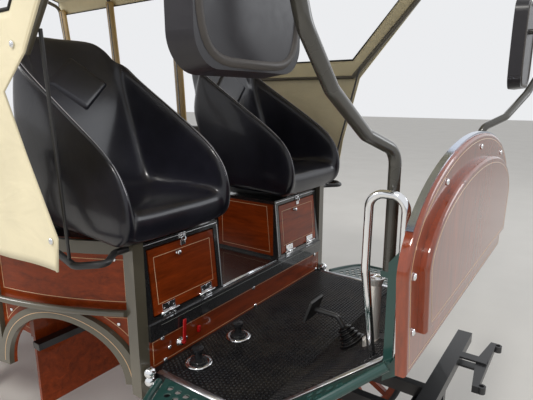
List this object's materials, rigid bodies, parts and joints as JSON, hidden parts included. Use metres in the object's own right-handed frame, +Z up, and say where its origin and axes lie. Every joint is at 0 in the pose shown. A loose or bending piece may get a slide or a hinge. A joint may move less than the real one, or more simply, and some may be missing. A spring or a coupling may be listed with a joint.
{
  "type": "hooded horse-drawn wagonette",
  "caption": "Four-wheeled horse-drawn carriage with a driver's box, bucket seats, side benches, rear door, hood and turning forecarriage.",
  "frame": {"origin": "on the ground under the middle of the outline", "axes": "+X forward, +Y to the left side, +Z up"},
  "size_m": [3.908, 2.11, 2.7498],
  "materials": {
    "mahogany": "clear-coated mahogany, gloss",
    "black_paint": "gloss black paint",
    "black_steel": "satin black paint",
    "olive_paint": "dark olive paint, gloss",
    "green_paint": "dark green paint, gloss",
    "arm_paint": "grey-green paint, satin",
    "chrome": "polished",
    "polished_trim": "polished",
    "floor_rubber": "studded mat",
    "bellows_rubber": "matt",
    "knob_black": "gloss",
    "mirror_plastic": "satin housing",
    "seat_leather": "smooth black leather",
    "hood_cloth": "cream coated cloth",
    "wheel_paint": "clear-coated wood spokes and rim",
    "tyre_rubber": "solid rubber"
  },
  "bodies": {
    "carriage": {"chassis_frame": "black_steel", "rear_axle": "black_steel", "rear_springs": "black_steel", "driver_floor": "floor_rubber", "heel_board": "mahogany", "box_deck": "black_paint", "front_pillars": "olive_paint", "locker_right": "black_paint", "locker_left": "black_paint", "seat_slides": "black_steel", "hip_rails": "black_steel", "seat_right": "seat_leather", "seat_left": "seat_leather", "side_frame_right": "olive_paint", "side_frame_left": "olive_paint", "side_panel_right": "mahogany", "side_panel_left": "mahogany", "rub_rails": "olive_paint", "footwell": "mahogany", "bench_right": "mahogany", "bench_left": "mahogany", "bench_cushions": "seat_leather", "bench_backrests": "seat_leather", "rear_end": "mahogany", "rear_step": "black_steel", "hood_frame": "olive_paint", "roof_sheet": "hood_cloth", "hood_sides": "hood_cloth", "hood_stays": "black_steel", "dash_board": "mahogany", "dash_trim": "polished_trim", "dash_posts": "green_paint", "mirror_arms": "arm_paint", "mirrors": "mirror_plastic", "grab_handles": "chrome", "whip_holder": "chrome", "pedal_bellows": "bellows_rubber", "brake_pedal": "black_steel", "floor_knobs": "knob_black", "step_plates": "green_paint", "finials": "chrome"},
    "forecarriage": {"forecarriage": "black_steel", "front_axle": "black_steel", "front_springs": "black_steel", "splinter_bar": "black_steel", "pole_socket": "black_steel"},
    "locker_door_right": {"locker_door_right": "mahogany"},
    "locker_door_left": {"locker_door_left": "mahogany"},
    "rear_door": {"rear_door": "mahogany"},
    "swingletree_right": {"swingletree_right": "black_steel"},
    "swingletree_left": {"swingletree_left": "black_steel"},
    "wheel_front_right": {"wheel_front_right": "wheel_paint", "tyre_front_right": "tyre_rubber"},
    "wheel_front_left": {"wheel_front_left": "wheel_paint", "tyre_front_left": "tyre_rubber"},
    "wheel_rear_right": {"wheel_rear_right": "wheel_paint", "tyre_rear_right": "tyre_rubber"},
    "wheel_rear_left": {"wheel_rear_left": "wheel_paint", "tyre_rear_left": "tyre_rubber"}
  },
  "joints": [
    {"name": "steering", "type": "hinge", "parent": "carriage", "child": "forecarriage", "pos_m": [1.136, 0, 0.7557], "axis": [0, 0, 1], "range_deg": [-40, 40]},
    {"name": "spin_front_right", "type": "hinge", "parent": "forecarriage", "child": "wheel_front_right", "pos_m": [1.136, -0.65, 0.37], "axis": [0, 1, 0], "continuous": true},
    {"name": "spin_front_left", "type": "hinge", "parent": "forecarriage", "child": "wheel_front_left", "pos_m": [1.136, 0.65, 0.37], "axis": [0, 1, 0], "continuous": true},
    {"name": "spin_rear_right", "type": "hinge", "parent": "carriage", "child": "wheel_rear_right", "pos_m": [-1.034, -0.65, 0.44], "axis": [0, 1, 0], "continuous": true},
    {"name": "spin_rear_left", "type": "hinge", "parent": "carriage", "child": "wheel_rear_left", "pos_m": [-1.034, 0.65, 0.44], "axis": [0, 1, 0], "continuous": true},
    {"name": "locker_door_right_hinge", "type": "hinge", "parent": "carriage", "child": "locker_door_right", "pos_m": [0.99945, -0.4015, 1.05138], "axis": [0, 1, 0], "range_deg": [0, 95]},
    {"name": "locker_door_left_hinge", "type": "hinge", "parent": "carriage", "child": "locker_door_left", "pos_m": [0.99945, 0.4015, 1.05138], "axis": [0, 1, 0], "range_deg": [0, 95]},
    {"name": "rear_door_hinge", "type": "hinge", "parent": "carriage", "child": "rear_door", "pos_m": [-1.743, 0.29, 0.86], "axis": [0, 0, 1], "range_deg": [-110, 0]},
    {"name": "swingletree_right_pin", "type": "hinge", "parent": "forecarriage", "child": "swingletree_right", "pos_m": [1.904, -0.33, 0.7337], "axis": [0, 0, 1], "range_deg": [-20, 20]},
    {"name": "swingletree_left_pin", "type": "hinge", "parent": "forecarriage", "child": "swingletree_left", "pos_m": [1.904, 0.33, 0.7337], "axis": [0, 0, 1], "range_deg": [-20, 20]}
  ]
}
